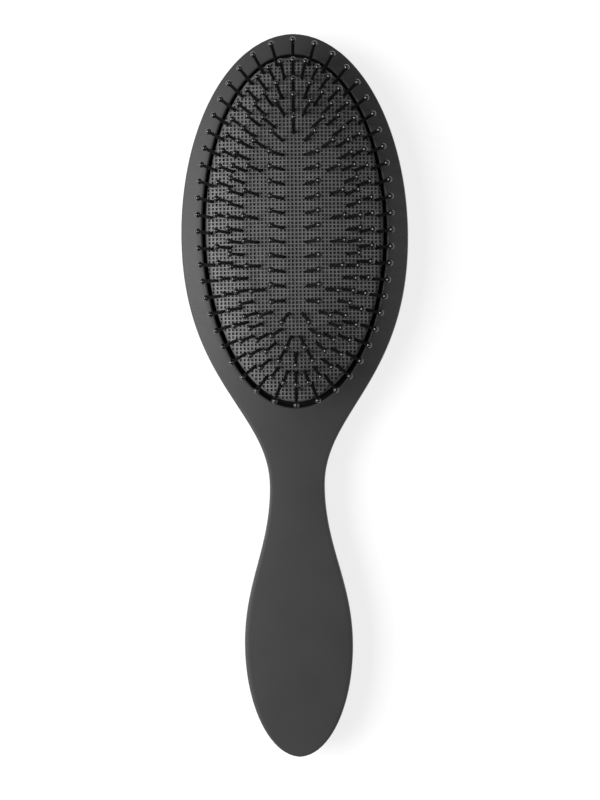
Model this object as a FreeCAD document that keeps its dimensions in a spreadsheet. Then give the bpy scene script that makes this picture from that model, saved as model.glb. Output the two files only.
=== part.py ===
# Detangling brush lying on its back: bristles up (+Z), head towards +Y, width along X.
# The rest flats of the back lie on z = 0, and the origin is under the middle of the brush.

import FreeCAD
import Part
import math
import os

doc = FreeCAD.newDocument("detangling_brush")
sheet = doc.addObject("Spreadsheet::Sheet", "sizes")

# Driving dimensions in millimetres, and counts.
SIZES = {
    # Plan outline of the handle body
    "brush_length": 222.25,
    "head_width": 70.0,
    "neck_width": 17.0,
    "grip_width": 33.4,
    "head_cap_length": 61.9,
    "grip_cap_length": 34.4,
    "neck_from_head": 77.2,
    # Height of the parting plane, of the face's edge and its rise above it, and of the back below it
    "parting_height": 9.0,
    "head_edge": 4.9,
    "neck_edge": 6.2,
    "grip_edge": 6.6,
    "head_rise": 6.2,
    "neck_rise": 0.5,
    "grip_rise": 0.7,
    "edge_round": 1.4,
    "head_belly": 9.4,
    "neck_belly": 6.2,
    "grip_belly": 9.4,
    # Shells and how they close on each other
    "shell_wall": 2.2,
    "parting_gap": 0.05,
    "tongue_outset": 1.1,
    "tongue_thick": 0.8,
    "tongue_depth": 1.2,
    "tongue_root": 0.6,
    "tongue_fit": 0.1,
    "peg_radius": 1.6,
    "peg_depth": 4.5,
    "peg_fit": 0.1,
    "boss_wall": 1.4,
    "boss_drop": 0.5,
    # Oval recess in the face of the head
    "recess_width": 56.8,
    "recess_length": 108.6,
    "tip_rim": 6.4,
    "seat_rise": 3.6,
    "collar_wall": 1.6,
    # Rubber cushion and the tray behind it
    "flange_reach": 1.4,
    "flange_thick": 1.6,
    "pad_gap": 0.7,
    "pad_side_wall": 1.0,
    "pad_thick": 1.6,
    "pad_rise": 8.4,
    "dome_drop": 5.6,
    "shoulder_radius": 1.5,
    "tray_thick": 2.0,
    "vent_radius": 1.5,
    "rib_inset": 1.0,
    "rib_wall": 1.6,
    # Bristle pins
    "pin_sides": 6,
    "pin_length": 16.5,
    "pin_root_radius": 0.5,
    "pin_tip_radius": 0.43,
    "ball_radius": 0.9,
    "root_head_radius": 1.1,
    "root_head_height": 0.8,
    "root_head_gap": 0.35,
    "pin_fit": 0.08,
    "pin_field_shift": 1.9,
    # How far a cut runs past the face that it opens
    "overrun": 2.0,
}

# How far the pins lean outwards from their ovals, in degrees, at the sides and at the two ends.
SIDE_LEAN = 13.4
END_LEANS = (20.5, 13.4, 13.4, 13.4, 13.4)

# The side outline leaves the head and the grip, and reaches the neck, square to the width.
HEAD_PULL_SHARE = 0.584
NECK_TO_HEAD_PULL_SHARE = 0.298
NECK_TO_GRIP_PULL_SHARE = 0.39
GRIP_PULL_SHARE = 0.398

# How full the back's cross section is: 0.55 is an ellipse, 1 a rectangle.
BACK_FULLNESS_SHARE = 0.66

# The rounded edge of the face: the most that it takes of the half width, and its curve's pulls.
EDGE_ROUND_SHARE = 0.4
EDGE_WALL_PULL_SHARE = 0.3
EDGE_FACE_PULL_SHARE = 0.4

# How long the back keeps its depth towards the two ends: 2 is an ellipse.
HEAD_END_POWER = 3.8
GRIP_END_POWER = 2.6

# Stations along each stretch of the body, from its start to its end.
CAP_SHARES = (0.2, 0.4, 0.58, 0.74, 0.87, 0.95, 0.985)
RUN_SHARES = (0.17, 0.34, 0.5, 0.66, 0.83)

# Five ovals of pins from the edge inwards, as shares of the cushion's half width and length.
RINGS = ("outer", "second", "third", "fourth", "centre")
RING_COUNTS = (50, 50, 50, 25, 27)
RING_WIDTH_SHARES = (0.93, 0.73, 0.596, 0.425, 0.134)
RING_LENGTH_SHARES = (0.93, 0.849, 0.74, 0.649, 0.523)

# The spacing at the two ends of an oval against that along its sides, and how far it reaches.
END_SPACING_SHARES = (1, 0.57, 1, 0.4, 1)
END_REACH_SHARE = 0.2
SPACING_STEPS = 40  # steps per pin in which a spacing is worked out

DOME_SPREAD_SHARE = 1.25  # the dome's ellipsoid against the cushion's outline
BALL_NECK_SHARE = 1.88  # where the shaft enters the ball, in ball radii from its top
BALL_CAP_SHARE = 0.45  # the flat that stands for the top of the ball
PEG_SHARES = (-0.1, 0.45, 0.95)  # along the run from the neck to the widest part of the grip
VENT_SHARES = (-0.6, -0.2, 0.2, 0.6)  # along the tray's half length

for row, (alias, number) in enumerate(SIZES.items(), start=1):
    sheet.set(f"A{row}", alias)
    sheet.set(f"B{row}", str(number))
    sheet.setAlias(f"B{row}", alias)
doc.recompute()

# Places and sizes worked out from the sheet, as expressions.
SEAT = "(sizes.parting_height + sizes.seat_rise)"
TRAY_TOP = f"({SEAT} - sizes.flange_thick)"
TRAY_BOTTOM = f"({TRAY_TOP} - sizes.tray_thick)"
RECESS_CENTRE = "(sizes.brush_length / 2 - sizes.tip_rim - sizes.recess_length / 2)"
RECESS_X = "(sizes.recess_width / 2)"
RECESS_Y = "(sizes.recess_length / 2)"
PAD_X = f"({RECESS_X} - sizes.pad_gap)"
PAD_Y = f"({RECESS_Y} - sizes.pad_gap)"
FLANGE_X = f"({RECESS_X} + sizes.flange_reach)"
FLANGE_Y = f"({RECESS_Y} + sizes.flange_reach)"
CROWN = f"({SEAT} + sizes.pad_rise)"
DOME_HEIGHT = f"(sizes.dome_drop / (1 - sqrt(1 - 1 / {DOME_SPREAD_SHARE}^2)))"
DOME_CENTRE = f"({CROWN} - {DOME_HEIGHT})"
HEAD_PLACE = "(sizes.brush_length / 2 - sizes.head_cap_length)"
NECK_PLACE = f"({HEAD_PLACE} - sizes.neck_from_head)"
GRIP_PLACE = "(sizes.grip_cap_length - sizes.brush_length / 2)"
HIGH = f"({CROWN} + sizes.overrun)"


def value(expression):
    return float(sheet.evalExpression(expression))


def size(alias):
    return value(f"sizes.{alias}")


def vector(x, y, z):
    return FreeCAD.Vector(x, y, z)


# Booleans and simple blocks

def cut(name, base, tool):
    result = doc.addObject("Part::Cut", name)
    result.Base = base
    result.Tool = tool
    return result


def common(name, base, tool):
    result = doc.addObject("Part::Common", name)
    result.Base = base
    result.Tool = tool
    return result


def fuse(name, pieces):
    result = doc.addObject("Part::MultiFuse", name)
    result.Shapes = pieces
    return result


def feature(name, shape):
    result = doc.addObject("Part::Feature", name)
    result.Shape = shape
    return result


def oval_block(name, half_width, half_length, bottom, height):
    """An upright block with an oval outline, centred on the recess."""
    outline = doc.addObject("Part::Ellipse", f"{name}_outline")
    outline.setExpression("MajorRadius", half_length)
    outline.setExpression("MinorRadius", half_width)
    outline.Placement.Rotation = FreeCAD.Rotation(vector(0, 0, 1), 90)
    outline.setExpression("Placement.Base.y", RECESS_CENTRE)
    outline.setExpression("Placement.Base.z", bottom)
    block = doc.addObject("Part::Extrusion", name)
    block.Base = outline
    block.DirMode = "Custom"
    block.Dir = vector(0, 0, 1)
    block.Solid = True
    block.setExpression("LengthFwd", height)
    return block


def column(name, radius, place, bottom, height):
    """A round upright column on the centre line."""
    post = doc.addObject("Part::Cylinder", name)
    post.setExpression("Radius", radius)
    post.setExpression("Height", height)
    post.setExpression("Placement.Base.y", place)
    post.setExpression("Placement.Base.z", bottom)
    return post


def slab(name, bottom, height):
    """A flat slab as large as the brush in plan."""
    block = doc.addObject("Part::Box", name)
    block.setExpression("Length", "sizes.head_width")
    block.setExpression("Width", "sizes.brush_length")
    block.setExpression("Height", height)
    block.setExpression("Placement.Base.x", "-sizes.head_width / 2")
    block.setExpression("Placement.Base.y", "-sizes.brush_length / 2")
    block.setExpression("Placement.Base.z", bottom)
    return block


# The body's form: a station is (place along Y, half width, edge, rise, belly)

def end_share(share, power):
    return (1 - share**power) ** (1 / power)


def cap_stations(place, length, power, middle):
    """Stations of a rounded end, from its widest place to the small flat at its tip."""
    tip_share = math.sin(CAP_SHARES[-1] * math.pi / 2)
    half_width, edge, rise, belly = middle
    for share in CAP_SHARES:
        angle = share * math.pi / 2
        yield (
            place + length * math.sin(angle) / tip_share,
            half_width * math.cos(angle),
            edge,
            rise * math.cos(angle) ** 2,
            belly * end_share(math.sin(angle), power),
        )


def run_stations(places, start, finish):
    """Stations of a stretch whose sides, edge and belly start and end level, from the higher rise."""
    for share in RUN_SHARES:
        rest = 1 - share
        weights = (rest**3, 3 * rest**2 * share, 3 * rest * share**2, share**3)
        place = sum(w * p for w, p in zip(weights, places))
        ease = weights[2] + weights[3]
        half_width, edge, rise, belly = (a + (b - a) * ease for a, b in zip(start, finish))
        if start[2] > finish[2]:
            rise = finish[2] + (start[2] - finish[2]) * (1 - ease) ** 2
        yield place, half_width, edge, rise, belly


def run_places(start, finish, start_pull_share, finish_pull_share):
    run = finish - start
    return start, start + run * start_pull_share, finish - run * finish_pull_share, finish


def head_run():
    places = value(HEAD_PLACE), value(NECK_PLACE)
    return run_places(*places, HEAD_PULL_SHARE, NECK_TO_HEAD_PULL_SHARE)


def grip_run():
    places = value(NECK_PLACE), value(GRIP_PLACE)
    return run_places(*places, NECK_TO_GRIP_PULL_SHARE, GRIP_PULL_SHARE)


def thickness(part, inset):
    half_width = size(f"{part}_width") / 2 - inset
    edge = size(f"{part}_edge") - inset
    return half_width, edge, size(f"{part}_rise"), size(f"{part}_belly") - inset


def body_stations(inset):
    """All stations from the head's tip to the grip's tip, drawn in by a wall."""
    head, neck, grip = (thickness(part, inset) for part in ("head", "neck", "grip"))
    head_place, neck_place, grip_place = (value(p) for p in (HEAD_PLACE, NECK_PLACE, GRIP_PLACE))
    head_cap = size("head_cap_length") - inset
    grip_cap = size("grip_cap_length") - inset
    return [
        *reversed(list(cap_stations(head_place, head_cap, HEAD_END_POWER, head))),
        (head_place, *head),
        *run_stations(head_run(), head, neck),
        (neck_place, *neck),
        *run_stations(grip_run(), neck, grip),
        (grip_place, *grip),
        *cap_stations(grip_place, -grip_cap, GRIP_END_POWER, grip),
    ]


def bezier(place, poles):
    curve = Part.BezierCurve()
    curve.setPoles([vector(x, place, z) for x, z in poles])
    return curve.toShape()


def front_section(place, half_width, edge, rise):
    """The face's half of the cross section: upright sides, rounded edges and a shallow vault."""
    parting = size("parting_height")
    corner = min(size("edge_round"), half_width * EDGE_ROUND_SHARE)
    inner = half_width - corner
    slope = 2 * rise * inner / half_width**2
    shoulder = parting + edge + rise * (1 - (inner / half_width) ** 2)
    brow = shoulder - slope * corner
    pull = corner * (1 - EDGE_FACE_PULL_SHARE)
    lines = [bezier(place, [(inner, shoulder), (0, shoulder + slope * inner), (-inner, shoulder)])]
    for side in (1, -1):
        lines.append(
            bezier(place, [
                (side * half_width, parting),
                (side * half_width, brow - corner * EDGE_WALL_PULL_SHARE),
                (side * (inner + pull), shoulder - slope * pull),
                (side * inner, shoulder),
            ])
        )
    lines.append(Part.makeLine(vector(-half_width, place, parting), vector(half_width, place, parting)))
    return Part.Wire(Part.__sortEdges__(lines))


def back_section(place, half_width, belly):
    """The back's half of the cross section, a full oval just below the parting plane."""
    top = size("parting_height") - size("parting_gap")
    share = BACK_FULLNESS_SHARE
    bottom = size("parting_height") - belly
    lines = [
        bezier(place, [
            (side, top),
            (side, top - belly * share),
            (side * share, bottom),
            (0, bottom),
        ])
        for side in (half_width, -half_width)
    ]
    lines.append(Part.makeLine(vector(-half_width, place, top), vector(half_width, place, top)))
    return Part.Wire(lines)


def body_half(name, inset, side):
    """One half of the body as a solid, above (front) or below (back) the parting plane."""
    sections = []
    for place, half_width, edge, rise, belly in body_stations(inset):
        if side == "front":
            sections.append(front_section(place, half_width, edge, rise))
        else:
            sections.append(back_section(place, half_width, belly))
    return feature(name, Part.makeLoft(sections, True, False))


def plan_block(name, inset, bottom, height):
    """An upright block with the body's plan outline, drawn in by inset."""
    head, neck, grip = (thickness(part, inset)[0] for part in ("head", "neck", "grip"))
    edges = []
    for places, start, finish in ((head_run(), head, neck), (grip_run(), neck, grip)):
        for side in (1, -1):
            widths = (start, start, finish, finish)
            curve = Part.BezierCurve()
            curve.setPoles([vector(side * w, p, bottom) for w, p in zip(widths, places)])
            edges.append(curve.toShape())
    reach = size("brush_length") / 2 - inset
    for place, tip, half_width in (
        (value(HEAD_PLACE), reach, head),
        (value(GRIP_PLACE), -reach, grip),
    ):
        centre = vector(0, place, bottom)
        whole = Part.Ellipse(vector(0, tip, bottom), vector(half_width, place, bottom), centre)
        edges.append(Part.ArcOfEllipse(whole, -math.pi / 2, math.pi / 2).toShape())
    outline = Part.Wire(Part.__sortEdges__(edges))
    return feature(name, Part.Face(outline).extrude(vector(0, 0, height)))


# Front shell: the face of the brush, with the oval opening, the collar under it and the pegs

def front_shell():
    outer = body_half("front_skin", 0, "front")
    hollow = body_half("front_hollow", size("shell_wall"), "front")
    wall = cut("front_wall", outer, hollow)
    parting = size("parting_height")
    tongue_outer = size("tongue_outset")
    tongue_inner = tongue_outer + size("tongue_thick")
    tongue_bottom = parting - size("tongue_depth")
    tongue_height = size("tongue_depth") + size("tongue_root")
    tongue_band = plan_block("tongue_band", tongue_outer, tongue_bottom, tongue_height)
    tongue_room = plan_block("tongue_room", tongue_inner, tongue_bottom, tongue_height)
    tongue = cut("tongue", tongue_band, tongue_room)
    collar = oval_block(
        "collar_block",
        f"{RECESS_X} + sizes.collar_wall",
        f"{RECESS_Y} + sizes.collar_wall",
        SEAT,
        f"{HIGH} - {SEAT}",
    )
    pegs = [
        column(
            f"peg_{number}",
            "sizes.peg_radius",
            peg_place(share),
            "sizes.parting_height - sizes.peg_depth",
            "sizes.peg_depth + sizes.grip_edge + sizes.grip_rise",
        )
        for number, share in enumerate(PEG_SHARES, start=1)
    ]
    core = body_half("front_core", size("shell_wall") / 2, "front")
    below = slab("front_below", "sizes.parting_height - sizes.peg_depth", "sizes.peg_depth")
    room = fuse("front_room", [core, below])
    fittings = common("front_fittings", fuse("front_blocks", [collar, *pegs]), room)
    whole = fuse("front_whole", [wall, tongue, fittings])
    opening = oval_block("recess_opening", RECESS_X, RECESS_Y, TRAY_TOP, f"{HIGH} - {TRAY_TOP}")
    return cut("front_shell", whole, opening)


def peg_place(share):
    return f"{NECK_PLACE} + ({GRIP_PLACE} - {NECK_PLACE}) * {share}"


# Back shell: the palm side, with rest flats, the oval rib under the tray and the peg sockets

def back_shell():
    outer = body_half("back_skin", 0, "back")
    hollow = body_half("back_hollow", size("shell_wall"), "back")
    ground = slab("ground", "-sizes.overrun", "sizes.overrun")
    flat = cut("back_flat", outer, ground)
    parting = size("parting_height")
    rebate_depth = size("tongue_depth") + size("tongue_fit")
    rebate = plan_block(
        "rebate",
        size("tongue_outset") - size("tongue_fit"),
        parting - rebate_depth,
        rebate_depth + size("overrun"),
    )
    wall = cut("back_wall", cut("back_open", flat, hollow), rebate)
    rib_x = f"({FLANGE_X} - sizes.rib_inset)"
    rib_y = f"({FLANGE_Y} - sizes.rib_inset)"
    rib = cut(
        "rib",
        oval_block("rib_band", rib_x, rib_y, "0", TRAY_BOTTOM),
        oval_block("rib_room", f"{rib_x} - sizes.rib_wall", f"{rib_y} - sizes.rib_wall", "0", TRAY_BOTTOM),
    )
    boss_top = "(sizes.parting_height - sizes.boss_drop)"
    socket_radius = "sizes.peg_radius + sizes.peg_fit"
    bosses = []
    sockets = []
    for number, share in enumerate(PEG_SHARES, start=1):
        place = peg_place(share)
        bosses.append(column(f"boss_{number}", f"{socket_radius} + sizes.boss_wall", place, "0", boss_top))
        sockets.append(
            column(
                f"socket_{number}",
                socket_radius,
                place,
                "sizes.parting_height - sizes.peg_depth - sizes.peg_fit",
                "sizes.peg_depth + sizes.overrun",
            )
        )
    core = body_half("back_core", size("shell_wall") / 2, "back")
    above = slab("back_above", "sizes.parting_height - sizes.parting_gap", "sizes.seat_rise")
    room = fuse("back_room", [core, above])
    fittings = common("back_fittings", fuse("back_blocks", [rib, *bosses]), room)
    whole = fuse("back_whole", [wall, fittings])
    return cut("back_shell", whole, fuse("sockets", sockets))


# Cushion tray: the plate behind the cushion, with its air vents

def cushion_tray():
    plate = oval_block("tray_plate", FLANGE_X, FLANGE_Y, TRAY_BOTTOM, "sizes.tray_thick")
    vents = [
        column(
            f"vent_{number}",
            "sizes.vent_radius",
            f"{RECESS_CENTRE} + {RECESS_Y} * {share}",
            f"{TRAY_BOTTOM} - sizes.overrun",
            "sizes.tray_thick + 2 * sizes.overrun",
        )
        for number, share in enumerate(VENT_SHARES, start=1)
    ]
    return cut("cushion_tray", plate, fuse("vents", vents))


# Bristle pins: one flat-sided pin drawn from its root head to its ball, then copied round the ovals

def flat_face(corners):
    return Part.Face(Part.makePolygon([*corners, corners[0]]))


def pin_master():
    """A pin standing on +Z, with z = 0 where it leaves the cushion's face."""
    head_top = -(size("pad_thick") + size("root_head_gap"))
    length = size("pin_length")
    ball = size("ball_radius")
    sections = (
        (size("root_head_radius"), head_top - size("root_head_height")),
        (size("pin_root_radius"), head_top),
        (size("pin_tip_radius"), length - ball * BALL_NECK_SHARE),
        (ball, length - ball),
        (ball * BALL_CAP_SHARE, length),
    )
    sides = round(size("pin_sides"))
    turns = [2 * math.pi * side / sides for side in range(sides)]
    outlines = [
        [vector(radius * math.cos(turn), radius * math.sin(turn), height) for turn in turns]
        for radius, height in sections
    ]
    faces = [flat_face(outlines[0][::-1]), flat_face(outlines[-1])]
    for lower, upper in zip(outlines, outlines[1:]):
        for side in range(sides):
            after = (side + 1) % sides
            faces.append(flat_face([lower[side], lower[after], upper[after], upper[side]]))
    return feature("pin", Part.Solid(Part.Shell(faces)))


def hole_master():
    """The hole that one pin goes through, on the same axis."""
    hole = doc.addObject("Part::Prism", "pin_hole")
    depth = "(sizes.pad_thick + sizes.overrun)"
    hole.setExpression("Polygon", "sizes.pin_sides")
    hole.setExpression("Circumradius", "sizes.pin_root_radius + sizes.pin_fit")
    hole.setExpression("Height", f"{depth} + sizes.overrun")
    hole.setExpression("Placement.Base.z", f"-{depth}")
    return hole


def ring_path(number):
    """The closed line that the roots of one ring follow, from the head's end, in plan."""
    half_width = value(PAD_X) * RING_WIDTH_SHARES[number]
    half_length = value(PAD_Y) * RING_LENGTH_SHARES[number]
    middle = value(RECESS_CENTRE) + size("pin_field_shift")
    if RINGS[number] != "centre":
        tip = vector(0, middle + half_length, 0)
        oval = Part.Ellipse(tip, vector(half_width, middle, 0), vector(0, middle, 0))
        return Part.Wire(oval.toShape())
    straight = half_length - half_width
    head_end = middle + straight
    grip_end = middle - straight
    tip = vector(0, head_end + half_width, 0)
    foot = vector(0, grip_end - half_width, 0)
    turn = half_width * math.sin(math.pi / 4)
    corners = {(x, y): vector(x * half_width, y, 0) for x in (1, -1) for y in (head_end, grip_end)}
    return Part.Wire([
        Part.Arc(tip, vector(-turn, head_end + turn, 0), corners[-1, head_end]).toShape(),
        Part.makeLine(corners[-1, head_end], corners[-1, grip_end]),
        Part.Arc(corners[-1, grip_end], vector(-turn, grip_end - turn, 0), foot).toShape(),
        Part.Arc(foot, vector(turn, grip_end - turn, 0), corners[1, grip_end]).toShape(),
        Part.makeLine(corners[1, grip_end], corners[1, head_end]),
        Part.Arc(corners[1, head_end], vector(turn, head_end + turn, 0), tip).toShape(),
    ])


def dome_height(x, y):
    """The height of the cushion's face over a point of the plan."""
    across = x / (value(PAD_X) * DOME_SPREAD_SHARE)
    along = (y - value(RECESS_CENTRE)) / (value(PAD_Y) * DOME_SPREAD_SHARE)
    return value(DOME_CENTRE) + value(DOME_HEIGHT) * math.sqrt(1 - across**2 - along**2)


def ring_points(number):
    """Where the pins of one ring leave the cushion, in plan, closer together at the ring's ends."""
    count = RING_COUNTS[number]
    path = ring_path(number)
    steps = count * SPACING_STEPS
    fine = path.discretize(steps + 1)
    step = path.Length / steps
    reach = value(PAD_Y) * RING_LENGTH_SHARES[number] * END_REACH_SHARE
    lack = 1 - END_SPACING_SHARES[number]
    tallies = [0]
    for index in range(steps):
        along = (index + 0.5) * step
        from_end = min(along % (path.Length / 2), -along % (path.Length / 2))
        tallies.append(tallies[-1] + 1 / (1 - lack * math.exp(-((from_end / reach) ** 2))))
    points = []
    for pin in range(count):
        wanted = tallies[-1] * pin / count
        after = next(index for index, tally in enumerate(tallies) if tally > wanted)
        share = (wanted - tallies[after - 1]) / (tallies[after] - tallies[after - 1])
        points.append(fine[after - 1] + (fine[after] - fine[after - 1]) * share)
    return points


def ring_placements(number):
    """Where the pins of one ring stand and how they lean outwards."""
    points = ring_points(number)
    placements = []
    for index, point in enumerate(points):
        before = points[index - 1]
        after = points[(index + 1) % len(points)]
        tangent = after - before
        outwards = vector(tangent.y, -tangent.x, 0).normalize()
        if outwards.dot(point - vector(0, value(RECESS_CENTRE), 0)) < 0:
            outwards = -outwards
        lean = math.radians(SIDE_LEAN + (END_LEANS[number] - SIDE_LEAN) * abs(outwards.y))
        axis = outwards * math.sin(lean) + vector(0, 0, math.cos(lean))
        turn = FreeCAD.Rotation(vector(0, 0, 1), axis)
        root = vector(point.x, point.y, dome_height(point.x, point.y))
        placements.append(FreeCAD.Placement(root, turn))
    return placements


def placed_copies(name, master, placements):
    copies = []
    for placement in placements:
        copy = master.Shape.copy()
        copy.Placement = placement.multiply(copy.Placement)
        copies.append(copy)
    return feature(name, Part.makeCompound(copies))


# Cushion: a rubber dome with a flange, pierced by every pin

def shoulder_edges(shape):
    """Numbers of the edges where the cushion's side meets its dome, all at one height."""
    shoulder = value(CROWN) - size("dome_drop")
    middle = (value(CROWN) + shoulder) / 2
    numbers = []
    for number, edge in enumerate(shape.Edges, start=1):
        if not edge.Degenerated:
            heights = [point.z for point in edge.discretize(5)]
            if value(SEAT) < min(heights) and max(heights) < middle:
                numbers.append(number)
    return numbers


def cushion_pad(holes):
    def dome(name, inset):
        bulge = doc.addObject("Part::Ellipsoid", name)
        bulge.setExpression("Radius1", f"{DOME_HEIGHT} - {inset}")
        bulge.setExpression("Radius2", f"{PAD_X} * {DOME_SPREAD_SHARE} - {inset}")
        bulge.setExpression("Radius3", f"{PAD_Y} * {DOME_SPREAD_SHARE} - {inset}")
        bulge.setExpression("Placement.Base.y", RECESS_CENTRE)
        bulge.setExpression("Placement.Base.z", DOME_CENTRE)
        return bulge

    outer = common(
        "pad_outer",
        oval_block("pad_column", PAD_X, PAD_Y, TRAY_TOP, f"{HIGH} - {TRAY_TOP}"),
        dome("pad_dome", "0"),
    )
    doc.recompute()
    radius = size("shoulder_radius")
    rounded = doc.addObject("Part::Fillet", "pad_rounded")
    rounded.Base = outer
    rounded.Edges = [(index, radius, radius) for index in shoulder_edges(outer.Shape)]
    flange = oval_block("pad_flange", FLANGE_X, FLANGE_Y, TRAY_TOP, "sizes.flange_thick")
    side = "sizes.pad_side_wall"
    hollow = common(
        "pad_hollow",
        oval_block(
            "pad_hollow_column",
            f"{PAD_X} - {side}",
            f"{PAD_Y} - {side}",
            f"{TRAY_TOP} - sizes.overrun",
            f"{HIGH} - {TRAY_TOP}",
        ),
        dome("pad_hollow_dome", "sizes.pad_thick"),
    )
    plain = cut("pad_plain", fuse("pad_body", [rounded, flange]), hollow)
    return cut("cushion_pad", plain, holes)


front = front_shell()
back = back_shell()
tray = cushion_tray()
pin = pin_master()
hole = hole_master()
doc.recompute()
placements = [ring_placements(number) for number in range(len(RINGS))]
rings = [
    placed_copies(f"{name}_ring_pins", pin, places) for name, places in zip(RINGS, placements)
]
holes = placed_copies("pin_holes", hole, [place for places in placements for place in places])
pad = cushion_pad(holes)
doc.recompute()

sub_parts = [front, back, tray, pad, *rings]
for item in doc.Objects:
    if "Invalid" in item.State or "Error" in item.State:
        raise RuntimeError(f"{item.Name} failed: {item.State}")
for item in sub_parts:
    item.Label = item.Name
    if item.Shape.isNull() or not item.Shape.isValid():
        raise RuntimeError(f"{item.Label} has no sound shape")

os.makedirs("parts", exist_ok=True)
for item in sub_parts:
    item.Shape.exportStep(f"parts/{item.Label}.step")
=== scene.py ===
import math

import bpy
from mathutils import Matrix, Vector


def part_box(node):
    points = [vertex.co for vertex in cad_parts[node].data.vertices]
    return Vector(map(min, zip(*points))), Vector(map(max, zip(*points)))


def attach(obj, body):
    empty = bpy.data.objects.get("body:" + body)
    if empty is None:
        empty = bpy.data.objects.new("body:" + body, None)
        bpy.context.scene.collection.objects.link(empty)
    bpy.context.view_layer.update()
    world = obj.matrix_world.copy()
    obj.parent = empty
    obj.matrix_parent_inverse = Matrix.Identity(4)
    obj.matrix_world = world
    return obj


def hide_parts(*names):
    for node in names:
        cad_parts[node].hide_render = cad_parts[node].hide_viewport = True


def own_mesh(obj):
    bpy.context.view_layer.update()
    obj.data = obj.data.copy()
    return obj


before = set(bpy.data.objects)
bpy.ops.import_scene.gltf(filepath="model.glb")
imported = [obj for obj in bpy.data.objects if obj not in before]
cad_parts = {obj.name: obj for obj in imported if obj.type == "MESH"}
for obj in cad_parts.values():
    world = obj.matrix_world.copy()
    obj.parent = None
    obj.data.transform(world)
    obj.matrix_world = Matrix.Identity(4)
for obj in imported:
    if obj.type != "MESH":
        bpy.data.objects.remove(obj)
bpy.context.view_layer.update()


# Back shell: the palm side of the handle, injection moulded in charcoal plastic and finished
# with a matt soft-touch coat. It is pressed onto the front shell's pegs, and the two meet in
# a fine parting line all round the brush.
mm = 0.001
parting = 9.0 * mm
half_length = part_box("front_shell")[1].y
head_place = half_length - 61.9 * mm
neck_place = head_place - 77.2 * mm
grip_place = 34.4 * mm - half_length
head_form = (35.0 * mm, 4.9 * mm, 6.2 * mm, 9.4 * mm)
neck_form = (8.5 * mm, 6.2 * mm, 0.3 * mm, 6.2 * mm)
grip_form = (16.7 * mm, 6.6 * mm, 0.4 * mm, 9.4 * mm)
edge_round = 0.5 * mm
edge_width_limit = 0.4
edge_turn = 0.4
edge_wall_pull = 0.3
edge_face_pull = 0.6
least_half_width = 0.0005 * mm
back_fullness = 0.66
head_end_power = 3.8
grip_end_power = 2.6
head_run_pulls = (0.584, 0.298)
grip_run_pulls = (0.39, 0.398)
shell_wall = 1.8 * mm
seam_chamfer = 0.16 * mm
skin_columns = 18
cap_rows = 22
back_row_spacing = 2.4 * mm
back_crease = 35
mirror_merge = 0.001 * mm
skin_merge = 0.002 * mm
edge_reach = 0.01 * mm
cut_reach = 0.0001 * mm
halvings = 40


def body_form(place):
    """Half width, the face's edge and rise, and the back's belly at a place along the body."""
    ends = (
        (head_place, half_length - head_place, head_form, head_end_power),
        (grip_place, -half_length - grip_place, grip_form, grip_end_power),
    )
    for start, length, form, power in ends:
        share = min((place - start) / length, 1)
        if share >= 0:
            across = math.sqrt(1 - share**2)
            upright = (1 - share**power) ** (1 / power)
            return form[0] * across, form[1], form[2] * across**2, form[3] * upright
    if place > neck_place:
        start, finish, pulls = head_place, neck_place, head_run_pulls
        forms = (head_form, neck_form)
    else:
        start, finish, pulls = neck_place, grip_place, grip_run_pulls
        forms = (neck_form, grip_form)
    wanted = (place - start) / (finish - start)
    low, high = 0.0, 1.0
    for _ in range(halvings):
        share = (low + high) / 2
        rest = 1 - share
        reached = 3 * rest**2 * share * pulls[0] + 3 * rest * share**2 * (1 - pulls[1]) + share**3
        if reached < wanted:
            low = share
        else:
            high = share
    ease = share**2 * (3 - 2 * share)
    half_width, edge, rise, belly = (a + (b - a) * ease for a, b in zip(*forms))
    if forms[0][2] > forms[1][2]:
        rise = forms[1][2] + (forms[0][2] - forms[1][2]) * (1 - ease) ** 2
    return half_width, edge, rise, belly


def curve_point(poles, turn):
    """A point of a cubic curve drawn by four poles."""
    rest = 1 - turn
    weights = (rest**3, 3 * rest**2 * turn, 3 * rest * turn**2, turn**3)
    return tuple(sum(w * pole[axis] for w, pole in zip(weights, poles)) for axis in (0, 1))


def back_point(form, turn):
    """A point of the back's quarter section, from the parting (0) to its lowest line (1)."""
    half_width, _, _, belly = form
    full_width, full_belly = half_width * back_fullness, belly * back_fullness
    poles = ((half_width, 0), (half_width, -full_belly), (full_width, -belly), (0, -belly))
    return curve_point(poles, turn)


def front_point(form, turn):
    """A point of the face's quarter section: upright side, rounded edge, then a shallow vault."""
    half_width, edge, rise, _ = form
    half_width = max(half_width, least_half_width)
    corner = min(edge_round, edge_width_limit * half_width)
    inner = half_width - corner
    if turn > edge_turn:
        x = inner * (1 - turn) / (1 - edge_turn)
        return x, edge + rise * (1 - (x / half_width) ** 2)
    slope = 2 * rise * inner / half_width**2
    brim = edge + rise * (1 - (inner / half_width) ** 2)
    pull = edge_face_pull * corner
    wall_top = brim - slope * corner - edge_wall_pull * corner
    poles = (
        (half_width, 0),
        (half_width, wall_top),
        (inner + pull, brim - slope * pull),
        (inner, brim),
    )
    return curve_point(poles, turn / edge_turn)


def turn_at(section, form, across):
    """How far round the quarter section its distance from the centre line is across."""
    low, high = 0.0, 1.0
    for _ in range(halvings):
        turn = (low + high) / 2
        if section(form, turn)[0] > across:
            low = turn
        else:
            high = turn
    return high


def activate(piece):
    bpy.ops.object.select_all(action="DESELECT")
    piece.select_set(True)
    bpy.context.view_layer.objects.active = piece


def apply_modifier(piece, kind, **settings):
    activate(piece)
    modifier = piece.modifiers.new(kind.lower(), kind)
    for setting, given in settings.items():
        setattr(modifier, setting, given)
    bpy.ops.object.modifier_apply(modifier=modifier.name)


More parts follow.
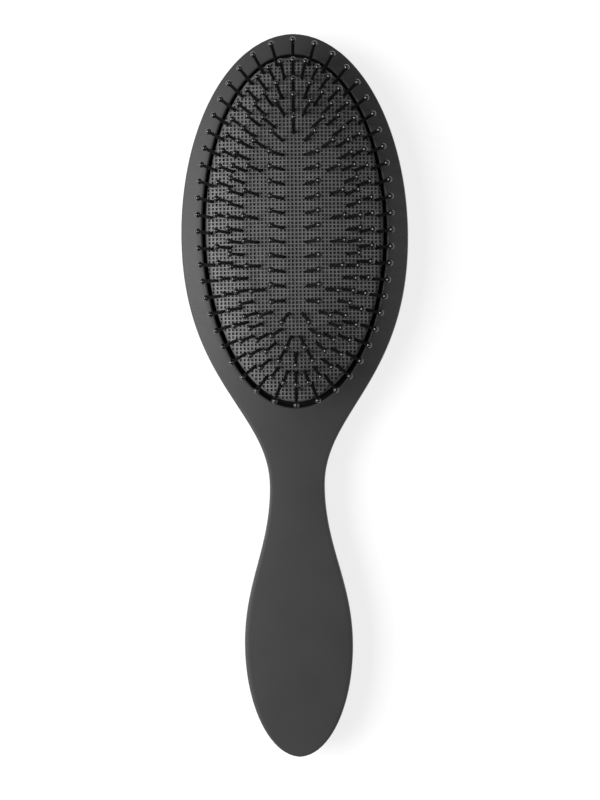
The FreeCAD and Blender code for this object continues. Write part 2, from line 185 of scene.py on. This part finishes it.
def cap_places(start, finish):
    """Places over a rounded end, closer together towards its tip."""
    steps = range(1, cap_rows + 1)
    return [start + (finish - start) * math.sin(step * math.pi / 2 / cap_rows) for step in steps]


def even_places(start, finish, spacing):
    """Places over a stretch, its start left out."""
    count = math.ceil(abs(finish - start) / spacing)
    return [start + (finish - start) * step / count for step in range(1, count + 1)]


def half_skin(name, places, side, section, inner_edge):
    """The skin of one shell: a grid drawn over the half section, then mirrored."""
    bpy.ops.object.select_all(action="DESELECT")
    rows = len(places) - 1
    bpy.ops.mesh.primitive_grid_add(x_subdivisions=skin_columns, y_subdivisions=rows, size=1)
    skin = bpy.context.object
    skin.name = name
    rows_of_points = []
    for place in places:
        form = body_form(place)
        last = turn_at(section, form, inner_edge(place))
        row = []
        for column in range(skin_columns + 1):
            x, z = section(form, last * column / skin_columns)
            row.append((x, place, parting + side * seam_chamfer + z))
        if inner_edge(place) == 0:
            row[-1] = (0, *row[-1][1:])
        rows_of_points.append(row)
    for vertex in skin.data.vertices:
        column = round((vertex.co.x + 0.5) * skin_columns)
        row = round((vertex.co.y + 0.5) * rows)
        vertex.co = rows_of_points[row][column]
    apply_modifier(skin, "MIRROR", use_clip=True, merge_threshold=mirror_merge)
    bpy.ops.object.mode_set(mode="EDIT")
    bpy.ops.mesh.select_all(action="SELECT")
    bpy.ops.mesh.remove_doubles(threshold=skin_merge)
    bpy.ops.mesh.normals_make_consistent(inside=False)
    bpy.ops.object.mode_set(mode="OBJECT")
    return skin


def pick_border(piece, low, high):
    """Goes into edit mode with the open edges between two heights selected."""
    activate(piece)
    bpy.ops.object.mode_set(mode="EDIT")
    bpy.ops.mesh.select_mode(type="VERT")
    bpy.ops.mesh.select_all(action="DESELECT")
    bpy.ops.mesh.select_non_manifold(
        use_wire=False, use_multi_face=False, use_non_contiguous=False, use_verts=False
    )
    bpy.ops.object.mode_set(mode="OBJECT")
    mesh = piece.data
    kept = [v.select and low <= v.co.z <= high for v in mesh.vertices]
    for vertex, keep in zip(mesh.vertices, kept):
        vertex.select = keep
    for edge in mesh.edges:
        edge.select = edge.select and all(kept[i] for i in edge.vertices)
    for face in mesh.polygons:
        face.select = False
    bpy.ops.object.mode_set(mode="EDIT")
    bpy.ops.mesh.select_mode(type="EDGE")


def chamfer_parting(skin, side):
    """The small slope that makes the parting line, drawn in from the edge of the skin."""
    edge_height = parting + side * seam_chamfer
    pick_border(skin, edge_height - edge_reach, edge_height + edge_reach)
    bpy.ops.mesh.extrude_edges_move(TRANSFORM_OT_translate={"value": (0, 0, -side * seam_chamfer)})
    bpy.ops.transform.shrink_fatten(value=-seam_chamfer)
    bpy.ops.transform.resize(value=(1, 1, 0), center_override=(0, 0, parting))
    bpy.ops.object.mode_set(mode="OBJECT")


def finish_shell(skin, angle):
    """Gives the skin its wall, inwards, and smooth faces with crisp edges."""
    activate(skin)
    bpy.ops.object.mode_set(mode="EDIT")
    bpy.ops.mesh.select_all(action="SELECT")
    bpy.ops.mesh.normals_make_consistent(inside=False)
    bpy.ops.object.mode_set(mode="OBJECT")
    apply_modifier(skin, "SOLIDIFY", thickness=shell_wall, offset=-1)
    activate(skin)
    bpy.ops.object.shade_smooth_by_angle(angle=math.radians(angle))


back_places = [
    *reversed(cap_places(head_place, half_length)),
    head_place,
    *even_places(head_place, grip_place, back_row_spacing),
    *cap_places(grip_place, -half_length),
]
back_shell = half_skin("back_cover", back_places, -1, back_point, lambda place: 0)
chamfer_parting(back_shell, -1)
# The two flats that the brush rests on, cut off at the floor.
activate(back_shell)
bpy.ops.object.mode_set(mode="EDIT")
bpy.ops.mesh.select_all(action="SELECT")
bpy.ops.mesh.bisect(
    plane_co=(0, 0, 0), plane_no=(0, 0, 1), use_fill=True, clear_inner=True, threshold=cut_reach
)
bpy.ops.object.mode_set(mode="OBJECT")
finish_shell(back_shell, back_crease)
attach(back_shell, "handle")
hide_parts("back_shell")

# The grain of a moulded face: a broad, faint unevenness and a fine texture.
grain_low, grain_high = 0.3, 0.7
grain_depth = 0.05 * mm
broad_detail, fine_detail = 2, 4
moulded_grain = bpy.data.node_groups.new("moulded_grain", "ShaderNodeTree")
for socket, kind, way in (
    ("Broad scale", "NodeSocketFloat", "INPUT"),
    ("Fine scale", "NodeSocketFloat", "INPUT"),
    ("Broad", "NodeSocketFloat", "OUTPUT"),
    ("Fine", "NodeSocketFloat", "OUTPUT"),
):
    moulded_grain.interface.new_socket(socket, in_out=way, socket_type=kind)
grain_nodes, grain_links = moulded_grain.nodes, moulded_grain.links
group_in = grain_nodes.new("NodeGroupInput")
group_out = grain_nodes.new("NodeGroupOutput")
place_node = grain_nodes.new("ShaderNodeTexCoord")
for scale_name, out_name, detail in (
    ("Broad scale", "Broad", broad_detail),
    ("Fine scale", "Fine", fine_detail),
):
    noise = grain_nodes.new("ShaderNodeTexNoise")
    noise.inputs["Detail"].default_value = detail
    grain_links.new(place_node.outputs["Object"], noise.inputs["Vector"])
    grain_links.new(group_in.outputs[scale_name], noise.inputs["Scale"])
    grain_links.new(noise.outputs["Fac"], group_out.inputs[out_name])


def moulded_material(name, dark, light, roughness, broad_scale, fine_scale, bump, sheen=0.5):
    """A moulded finish: two near tones mottled together, an uneven gloss and a fine grain."""
    material = bpy.data.materials.new(name)
    material.use_nodes = True
    nodes, links = material.node_tree.nodes, material.node_tree.links
    shader = nodes["Principled BSDF"]
    shader.inputs["Specular IOR Level"].default_value = sheen
    grain = nodes.new("ShaderNodeGroup")
    grain.node_tree = moulded_grain
    grain.inputs["Broad scale"].default_value = broad_scale
    grain.inputs["Fine scale"].default_value = fine_scale
    tones = nodes.new("ShaderNodeValToRGB")
    tones.color_ramp.elements[0].position = grain_low
    tones.color_ramp.elements[0].color = (*dark, 1)
    tones.color_ramp.elements[1].position = grain_high
    tones.color_ramp.elements[1].color = (*light, 1)
    gloss = nodes.new("ShaderNodeMapRange")
    gloss.inputs["From Min"].default_value = grain_low
    gloss.inputs["From Max"].default_value = grain_high
    gloss.inputs["To Min"].default_value = roughness[0]
    gloss.inputs["To Max"].default_value = roughness[1]
    relief = nodes.new("ShaderNodeBump")
    relief.inputs["Strength"].default_value = bump
    relief.inputs["Distance"].default_value = grain_depth
    links.new(grain.outputs["Broad"], tones.inputs["Fac"])
    links.new(tones.outputs["Color"], shader.inputs["Base Color"])
    links.new(grain.outputs["Fine"], gloss.inputs["Value"])
    links.new(gloss.outputs["Result"], shader.inputs["Roughness"])
    links.new(grain.outputs["Fine"], relief.inputs["Height"])
    links.new(relief.outputs["Normal"], shader.inputs["Normal"])
    return material


soft_touch = moulded_material(
    "soft_touch_charcoal",
    dark=(0.034, 0.034, 0.035),
    light=(0.04, 0.04, 0.041),
    roughness=(0.46, 0.54),
    broad_scale=60,
    fine_scale=2600,
    bump=0.25,
)
back_shell.data.materials.append(soft_touch)


# Cushion tray: the plain plastic plate that closes the cushion from behind. It keeps the form
# of its solid, because the cushion covers it.
tray_plastic = moulded_material(
    "tray_plastic",
    dark=(0.018, 0.018, 0.019),
    light=(0.024, 0.024, 0.025),
    roughness=(0.4, 0.5),
    broad_scale=80,
    fine_scale=1500,
    bump=0.2,
)
cushion_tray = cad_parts["cushion_tray"]
cushion_tray.data.materials.clear()
cushion_tray.data.materials.append(tray_plastic)


# Cushion: the moulded rubber dome that carries the pins, with a waffle of small square dimples
# over its whole face. A flange round its foot is clamped between the front shell and the tray.
flange_low, flange_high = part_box("cushion_pad")
recess_place = (flange_low.y + flange_high.y) / 2
flange_reach = 1.4 * mm
recess_half_width = flange_high.x - flange_reach
recess_half_length = (flange_high.y - flange_low.y) / 2 - flange_reach
pad_shift = 0.5 * mm
pad_place = recess_place + pad_shift
side_gap = 1.0 * mm
end_gap = 1.3 * mm
pad_half_width = recess_half_width - side_gap
pad_half_length = recess_half_length - end_gap
flange_thick = 1.6 * mm
pad_rise = 8.4 * mm
seat = flange_low.z + flange_thick
crown = seat + pad_rise
dome_drop = 5.6 * mm
dome_spread = 1.25
dome_gap = 0.7 * mm
dome_half_width = dome_spread * (recess_half_width - dome_gap)
dome_half_length = dome_spread * (recess_half_length - dome_gap)
dome_height = dome_drop / (1 - math.sqrt(1 - 1 / dome_spread**2))
shoulder = 1.5 * mm
dimple_pitch = 1.16 * mm
rib_half = 0.16 * dimple_pitch
dimple_draft = 0.03 * dimple_pitch
dimple_depth = 0.95 * mm
border_reach = 0.4 * mm
block_depth = 6 * mm
face_depth = 2 * mm
column_depth = 20 * mm
oval_sides = 192
middle_share = 0.5
cushion_crease = 30
level_reach = 0.01 * mm
face_reach = 0.1 * mm
painted_shade_reach = 0.02 * mm


def edge_distance(x, y):
    """How far a point of the plan lies inside the cushion's oval, towards its middle."""
    out = math.hypot(x / pad_half_width, (y - pad_place) / pad_half_length)
    return math.hypot(x, y - pad_place) * (1 / out - 1) if out > middle_share else pad_half_width


def dome_face(x, y):
    """Height of the cushion's face over a point of the plan, with its rounded shoulder."""
    slant = (x / dome_half_width) ** 2 + ((y - recess_place) / dome_half_length) ** 2
    height = crown - dome_height * (1 - math.sqrt(1 - slant))
    missing = max(shoulder - edge_distance(x, y), 0)
    return height - (shoulder - math.sqrt(max(shoulder**2 - missing**2, 0)))


dimple_columns = 2 * math.ceil(pad_half_width / dimple_pitch)
dimple_rows = 2 * math.ceil(pad_half_length / dimple_pitch)
bpy.ops.object.select_all(action="DESELECT")
bpy.ops.mesh.primitive_grid_add(
    x_subdivisions=dimple_columns, y_subdivisions=dimple_rows, size=1, location=(0, pad_place, 0)
)
cushion = bpy.context.object
cushion.name = "cushion"
bpy.ops.object.transform_apply()
bpy.ops.object.mode_set(mode="EDIT")
bpy.ops.mesh.select_all(action="SELECT")
bpy.ops.transform.resize(
    value=(dimple_columns * dimple_pitch, dimple_rows * dimple_pitch, 1),
    center_override=(0, pad_place, 0),
)
bpy.ops.mesh.select_mode(type="FACE")
bpy.ops.mesh.extrude_region_move(TRANSFORM_OT_translate={"value": (0, 0, -block_depth)})
bpy.ops.mesh.dissolve_faces()
bpy.ops.mesh.select_all(action="SELECT")
bpy.ops.mesh.normals_make_consistent(inside=False)
bpy.ops.mesh.select_all(action="DESELECT")
bpy.ops.object.mode_set(mode="OBJECT")
corners = [vertex.co for vertex in cushion.data.vertices]
for face in cushion.data.polygons:
    depth = min(edge_distance(corners[i].x, corners[i].y) for i in face.vertices)
    face.select = face.center.z > -face_reach and depth > -border_reach
bpy.ops.object.mode_set(mode="EDIT")
bpy.ops.mesh.inset(thickness=rib_half, depth=0, use_individual=True)
bpy.ops.mesh.inset(thickness=dimple_draft, depth=0, use_individual=True)
bpy.ops.transform.translate(value=(0, 0, -dimple_depth))
bpy.ops.mesh.select_all(action="DESELECT")
bpy.ops.object.mode_set(mode="OBJECT")

bpy.ops.object.select_all(action="DESELECT")
bpy.ops.mesh.primitive_cylinder_add(
    vertices=oval_sides, radius=1, depth=column_depth, location=(0, pad_place, 0)
)
oval_column = bpy.context.object
oval_column.scale = (pad_half_width, pad_half_length, 1)
bpy.ops.object.transform_apply()
apply_modifier(cushion, "BOOLEAN", operation="INTERSECT", solver="EXACT", object=oval_column)
bpy.data.objects.remove(oval_column)

for vertex in cushion.data.vertices:
    if vertex.co.z > -face_depth:
        vertex.co.z += dome_face(vertex.co.x, vertex.co.y)
    else:
        vertex.co.z = seat
activate(cushion)
bpy.ops.object.mode_set(mode="EDIT")
bpy.ops.mesh.select_all(action="DESELECT")
bpy.ops.object.mode_set(mode="OBJECT")
for face in cushion.data.polygons:
    face.select = face.center.z < seat + level_reach
bpy.ops.object.mode_set(mode="EDIT")
bpy.ops.mesh.extrude_region_move()
bpy.ops.transform.resize(
    value=(
        flange_high.x / pad_half_width,
        (recess_half_length + flange_reach) / pad_half_length,
        1,
    ),
    center_override=(0, pad_place, seat),
)
bpy.ops.transform.translate(value=(0, recess_place - pad_place, 0))
bpy.ops.mesh.extrude_region_move(TRANSFORM_OT_translate={"value": (0, 0, flange_low.z - seat)})
bpy.ops.mesh.select_all(action="SELECT")
bpy.ops.mesh.normals_make_consistent(inside=False)
bpy.ops.object.mode_set(mode="OBJECT")
bpy.ops.object.shade_smooth_by_angle(angle=math.radians(cushion_crease))
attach(cushion, "handle")
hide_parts("cushion_pad")
rubber = moulded_material(
    "cushion_rubber",
    dark=(0.165, 0.165, 0.165),
    light=(0.185, 0.185, 0.185),
    roughness=(0.4, 0.5),
    broad_scale=90,
    fine_scale=1800,
    bump=0.3,
    sheen=0.5,
)
# Painted shade: a near-black rubber on the cushion's flange and upright sides stands in for the
# deep shade in the gap round the cushion.
painted_shade_rubber = moulded_material(
    "cushion_painted_shade",
    dark=(0.003, 0.003, 0.003),
    light=(0.005, 0.005, 0.005),
    roughness=(0.6, 0.7),
    broad_scale=90,
    fine_scale=1800,
    bump=0.3,
    sheen=0.1,
)
cushion.data.materials.append(rubber)
cushion.data.materials.append(painted_shade_rubber)
# The flange faces and the faces at the cushion's edge take the painted shade.
for face in cushion.data.polygons:
    x, y, z = face.center
    in_painted_shade = z < seat + face_reach or edge_distance(x, y) < painted_shade_reach
    face.material_index = 1 if in_painted_shade else 0
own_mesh(cushion)


# Bristle pins: slim black nylon pins with a polished ball at the tip, pushed through the cushion
# from behind and held by a flat head under it. They stand in five ovals, leaning outwards.
ball_radius = 0.98 * mm
pin_sides = 8
ball_rings = 6
pin_crease = 60
gloss_share = 0.3
solid_pin_sides = 6
merge_reach = 0.005 * mm
scene = bpy.context.scene
ring_names = ("outer", "second", "third", "fourth", "centre")
pin_length = 16.5 * mm
root_head_radius = 1.1 * mm
root_head_top = -1.95 * mm
root_head_foot = -2.75 * mm
shaft_tip = 0.48 * mm
shaft_foot = 0.57 * mm

bpy.ops.object.select_all(action="DESELECT")
bpy.ops.mesh.primitive_uv_sphere_add(
    segments=pin_sides,
    ring_count=ball_rings,
    radius=ball_radius,
    location=(0, 0, pin_length - ball_radius),
)
pin = bpy.context.object
pin.name = "pin"
bpy.ops.object.transform_apply()
lowest = pin_length - 2 * ball_radius
bpy.ops.object.mode_set(mode="EDIT")
bpy.ops.mesh.select_mode(type="VERT")
bpy.ops.mesh.select_all(action="DESELECT")
bpy.ops.object.mode_set(mode="OBJECT")
for vertex in pin.data.vertices:
    vertex.select = vertex.co.z < lowest + level_reach
bpy.ops.object.mode_set(mode="EDIT")
bpy.ops.mesh.delete(type="VERT")
bpy.ops.mesh.select_non_manifold()
neck_height = lowest + ball_radius * (1 - math.cos(math.pi / ball_rings))
neck_radius = ball_radius * math.sin(math.pi / ball_rings)
for radius, height in (
    (shaft_tip, lowest),
    (shaft_foot, 0),
    (shaft_foot, root_head_top),
    (root_head_radius, root_head_top),
    (root_head_radius, root_head_foot),
):
    bpy.ops.mesh.extrude_edges_move(TRANSFORM_OT_translate={"value": (0, 0, height - neck_height)})
    share = radius / neck_radius
    bpy.ops.transform.resize(value=(share, share, 1), center_override=(0, 0, 0))
    neck_height, neck_radius = height, radius
bpy.ops.mesh.edge_face_add()
bpy.ops.mesh.select_all(action="SELECT")
bpy.ops.mesh.normals_make_consistent(inside=False)
bpy.ops.object.mode_set(mode="OBJECT")
bpy.ops.object.shade_smooth_by_angle(angle=math.radians(pin_crease))
black_nylon = moulded_material(
    "black_nylon",
    dark=(0.002, 0.002, 0.002),
    light=(0.003, 0.003, 0.003),
    roughness=(0.4, 0.5),
    broad_scale=400,
    fine_scale=3000,
    bump=0.1,
    sheen=0.2,
)
tip_gloss = moulded_material(
    "polished_tip",
    dark=(0.002, 0.002, 0.002),
    light=(0.004, 0.004, 0.004),
    roughness=(0.2, 0.28),
    broad_scale=400,
    fine_scale=3000,
    bump=0.1,
    sheen=1.0,
)
pin.data.materials.append(black_nylon)
pin.data.materials.append(tip_gloss)
for face in pin.data.polygons:
    face.material_index = 1 if face.center.z > lowest + gloss_share * ball_radius else 0


def pin_ends(node):
    """The lower and the upper end of each pin of a ring, read from the ring's solid."""
    ring = node.copy()
    ring.data = node.data.copy()
    scene.collection.objects.link(ring)
    ring.parent = None
    activate(ring)
    bpy.ops.object.mode_set(mode="EDIT")
    bpy.ops.mesh.select_all(action="SELECT")
    bpy.ops.mesh.remove_doubles(threshold=merge_reach)
    bpy.ops.mesh.separate(type="LOOSE")
    bpy.ops.object.mode_set(mode="OBJECT")
    ends = []
    for single in list(bpy.context.selected_objects):
        points = sorted((v.co.copy() for v in single.data.vertices), key=lambda point: point.z)
        foot = sum(points[:solid_pin_sides], Vector()) / solid_pin_sides
        tip = sum(points[-solid_pin_sides:], Vector()) / solid_pin_sides
        ends.append((foot, tip))
        bpy.data.objects.remove(single)
    return ends


for ring_name in ring_names:
    copies = []
    for foot, tip in pin_ends(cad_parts[f"{ring_name}_ring_pins"]):
        copy = bpy.data.objects.new(f"{ring_name}_pin", pin.data.copy())
        scene.collection.objects.link(copy)
        axis = (tip - foot).normalized()
        copy.matrix_world = axis.to_track_quat("Z", "Y").to_matrix().to_4x4()
        copy.location = tip - axis * pin_length
        copies.append(copy)
    bpy.ops.object.select_all(action="DESELECT")
    for copy in copies:
        copy.select_set(True)
    bpy.context.view_layer.objects.active = copies[0]
    bpy.ops.object.transform_apply()
    bpy.ops.object.join()
    ring = bpy.context.object
    ring.name = f"{ring_name}_bristles"
    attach(ring, f"{ring_name}_ring")
    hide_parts(f"{ring_name}_ring_pins")
bpy.data.objects.remove(pin)


# Front shell: the face of the brush, moulded in the same soft-touch charcoal plastic. Its oval
# opening has a rounded rim, and the wall under the rim holds the cushion's flange on the tray.
rim_band = 0.6 * mm
rim_radius = 0.45 * mm
rim_steps = 104
rim_turns = (0, 22.5, 45, 67.5, 90)
rim_end_share = 1 - 1e-9
tip_clearance = 0.4 * mm
front_row_spacing = 2.0 * mm
front_crease = 40
band_half_width = recess_half_width + rim_band
band_half_length = recess_half_length + rim_band
rim_places = [
    recess_place + band_half_length * math.cos(step * math.pi / rim_steps)
    for step in range(rim_steps + 1)
]


def rim_edge(place):
    """Half width of the oval just outside the rounded rim, 0 beyond its ends."""
    share = (place - recess_place) / band_half_length
    return band_half_width * math.sqrt(1 - share**2) if abs(share) < rim_end_share else 0


tip_places = reversed(cap_places(head_place, half_length))
front_places = [
    *[place for place in tip_places if place > rim_places[0] + tip_clearance],
    *rim_places,
    *even_places(rim_places[-1], grip_place, front_row_spacing),
    *cap_places(grip_place, -half_length),
]
front_shell = half_skin("front_cover", front_places, 1, front_point, rim_edge)
front_shell.data.materials.append(soft_touch)
chamfer_parting(front_shell, 1)
pick_border(front_shell, seat, crown)
width, length, sunk = band_half_width, band_half_length, 0
for turn in rim_turns:
    angle = math.radians(turn)
    outset = rim_radius * (1 - math.sin(angle))
    depth = rim_radius * (1 - math.cos(angle))
    bpy.ops.mesh.extrude_edges_move(TRANSFORM_OT_translate={"value": (0, 0, sunk - depth)})
    new_width, new_length = recess_half_width + outset, recess_half_length + outset
    bpy.ops.transform.resize(
        value=(new_width / width, new_length / length, 1), center_override=(0, recess_place, 0)
    )
    width, length, sunk = new_width, new_length, depth
bpy.ops.mesh.extrude_edges_move()
bpy.ops.transform.resize(value=(1, 1, 0), center_override=(0, recess_place, seat))
bpy.ops.object.mode_set(mode="OBJECT")
finish_shell(front_shell, front_crease)
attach(front_shell, "handle")
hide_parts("front_shell")


# Floor, light and camera: a plain pale floor, a soft key light from the left with a dim fill
# from the right, and the camera straight above the brush.
floor_size = 8
floor_tone = 0.4
floor_strength = 0.78
world_tone = 0.08
light_target = Vector((0, 0, 0.01))
scene.view_settings.view_transform = "Standard"
bpy.ops.object.select_all(action="DESELECT")
bpy.ops.mesh.primitive_plane_add(size=floor_size)
floor = bpy.context.object
floor.name = "floor"
pale_floor = bpy.data.materials.new("pale_floor")
pale_floor.use_nodes = True
floor_nodes, floor_links = pale_floor.node_tree.nodes, pale_floor.node_tree.links
floor_shader = floor_nodes["Principled BSDF"]
floor_shader.inputs["Base Color"].default_value = (floor_tone, floor_tone, floor_tone, 1)
floor_shader.inputs["Roughness"].default_value = 1
floor_shader.inputs["Specular IOR Level"].default_value = 0
floor_glow = floor_nodes.new("ShaderNodeEmission")
floor_glow.inputs["Strength"].default_value = floor_strength
floor_dark = floor_nodes.new("ShaderNodeEmission")
floor_dark.inputs["Strength"].default_value = 0
rays = floor_nodes.new("ShaderNodeLightPath")
seen = floor_nodes.new("ShaderNodeMath")
seen.operation = "MAXIMUM"
seen_through = floor_nodes.new("ShaderNodeMath")
seen_through.operation = "MAXIMUM"
glow_choice = floor_nodes.new("ShaderNodeMixShader")
floor_sum = floor_nodes.new("ShaderNodeAddShader")
floor_links.new(rays.outputs["Is Camera Ray"], seen.inputs[0])
floor_links.new(rays.outputs["Is Glossy Ray"], seen.inputs[1])
floor_links.new(seen.outputs[0], seen_through.inputs[0])
floor_links.new(rays.outputs["Is Transmission Ray"], seen_through.inputs[1])
floor_links.new(seen_through.outputs[0], glow_choice.inputs[0])
floor_links.new(floor_dark.outputs[0], glow_choice.inputs[1])
floor_links.new(floor_glow.outputs[0], glow_choice.inputs[2])
floor_links.new(floor_shader.outputs[0], floor_sum.inputs[0])
floor_links.new(glow_choice.outputs[0], floor_sum.inputs[1])
floor_links.new(floor_sum.outputs[0], floor_nodes["Material Output"].inputs["Surface"])
floor.data.materials.append(pale_floor)

world = bpy.data.worlds.new("studio")
scene.world = world
world.use_nodes = True
backdrop = world.node_tree.nodes["Background"]
backdrop.inputs["Color"].default_value = (world_tone, world_tone, world_tone, 1)

for name, energy, breadth, place in (
    ("key", 11.5, 0.8, Vector((-0.67, 0, 0.74))),
    ("fill", 1.2, 0.3, Vector((0.67, 0, 0.74))),
):
    lamp = bpy.data.lights.new(name, "AREA")
    lamp.energy = energy
    lamp.size = breadth
    light = bpy.data.objects.new(name, lamp)
    scene.collection.objects.link(light)
    light.location = place
    light.rotation_euler = (light_target - place).to_track_quat("-Z", "Y").to_euler()

camera_rise = 1050 * mm
camera_x = 1.1 * mm
camera_y = -1.52 * mm
camera_turn = -0.6
frame_height = 247.3 * mm
sensor_width = 36
camera = bpy.data.cameras.new("camera")
camera.sensor_width = sensor_width
camera.lens = sensor_width * camera_rise / frame_height
camera_object = bpy.data.objects.new("camera", camera)
scene.collection.objects.link(camera_object)
camera_object.location = (camera_x, camera_y, parting + camera_rise)
camera_object.rotation_euler = (0, 0, math.radians(camera_turn))
scene.camera = camera_object
